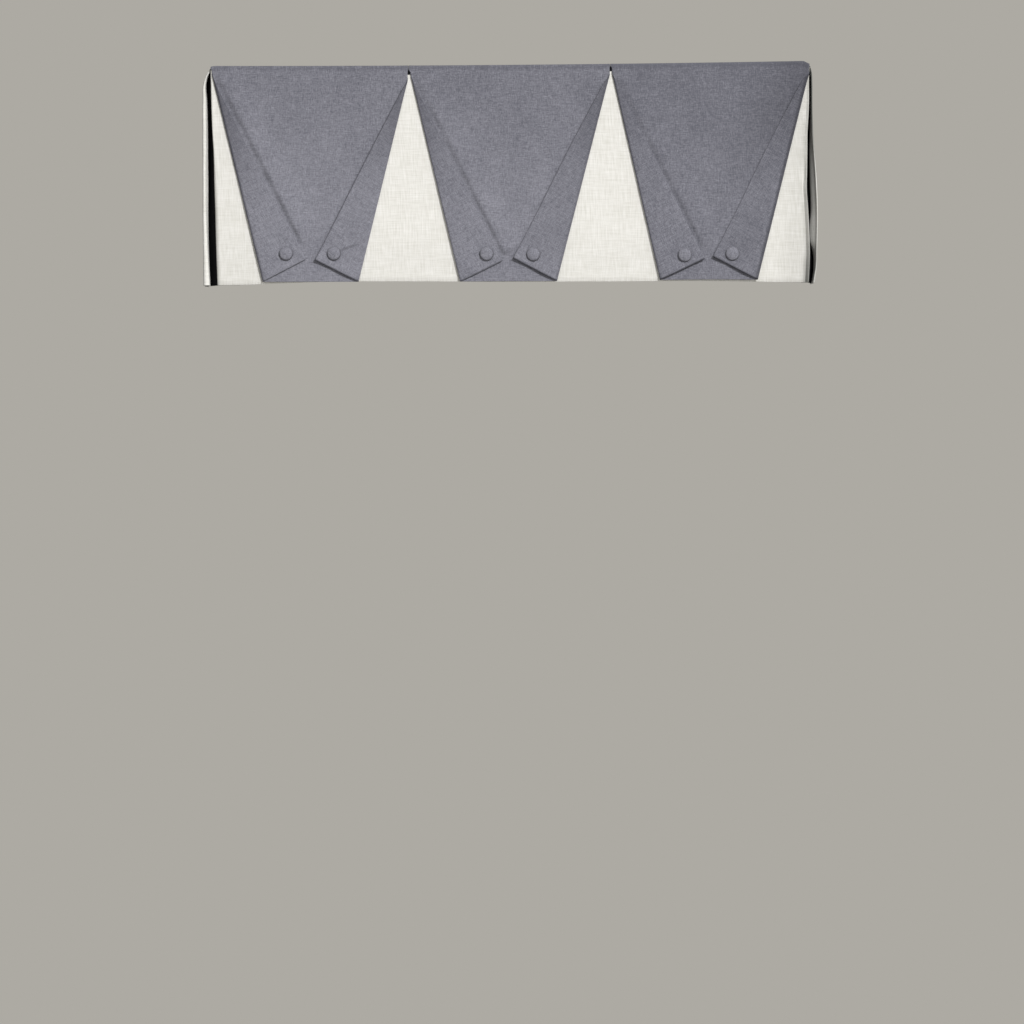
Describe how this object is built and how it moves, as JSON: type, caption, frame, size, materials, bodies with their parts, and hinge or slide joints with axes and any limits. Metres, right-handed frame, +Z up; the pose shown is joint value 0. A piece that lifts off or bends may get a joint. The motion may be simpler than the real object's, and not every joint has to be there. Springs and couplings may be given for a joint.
{
  "type": "tent flap valance",
  "caption": "Window valance of grey linen panels with sides folded back on a slant and buttoned over cream contrast cloth, with cream returns and open corner pleats.",
  "frame": {"origin": "top of the heading at the middle of the valance, in the plane of the wall that it hangs on", "axes": "+X to the right as seen from the room, +Y into the wall, so the front faces -Y, +Z up"},
  "size_m": [1.293, 0.1055, 0.4728],
  "materials": {
    "grey_linen": "blue-grey slubbed linen, lined with itself, matt",
    "grey_linen_button": "the same linen drawn over a domed button",
    "cream_cloth": "cream basket weave, matt",
    "black_cloth": "plain black cloth, matt"
  },
  "bodies": {
    "root": {"contrast_cloth": "cream_cloth", "return_left": "cream_cloth", "return_right": "cream_cloth", "corner_insert_left": "black_cloth", "corner_insert_right": "black_cloth", "panel_left": "grey_linen", "panel_middle": "grey_linen", "panel_right": "grey_linen", "button_1": "grey_linen_button", "button_2": "grey_linen_button", "button_3": "grey_linen_button", "button_4": "grey_linen_button", "button_5": "grey_linen_button", "button_6": "grey_linen_button"}
  },
  "joints": []
}
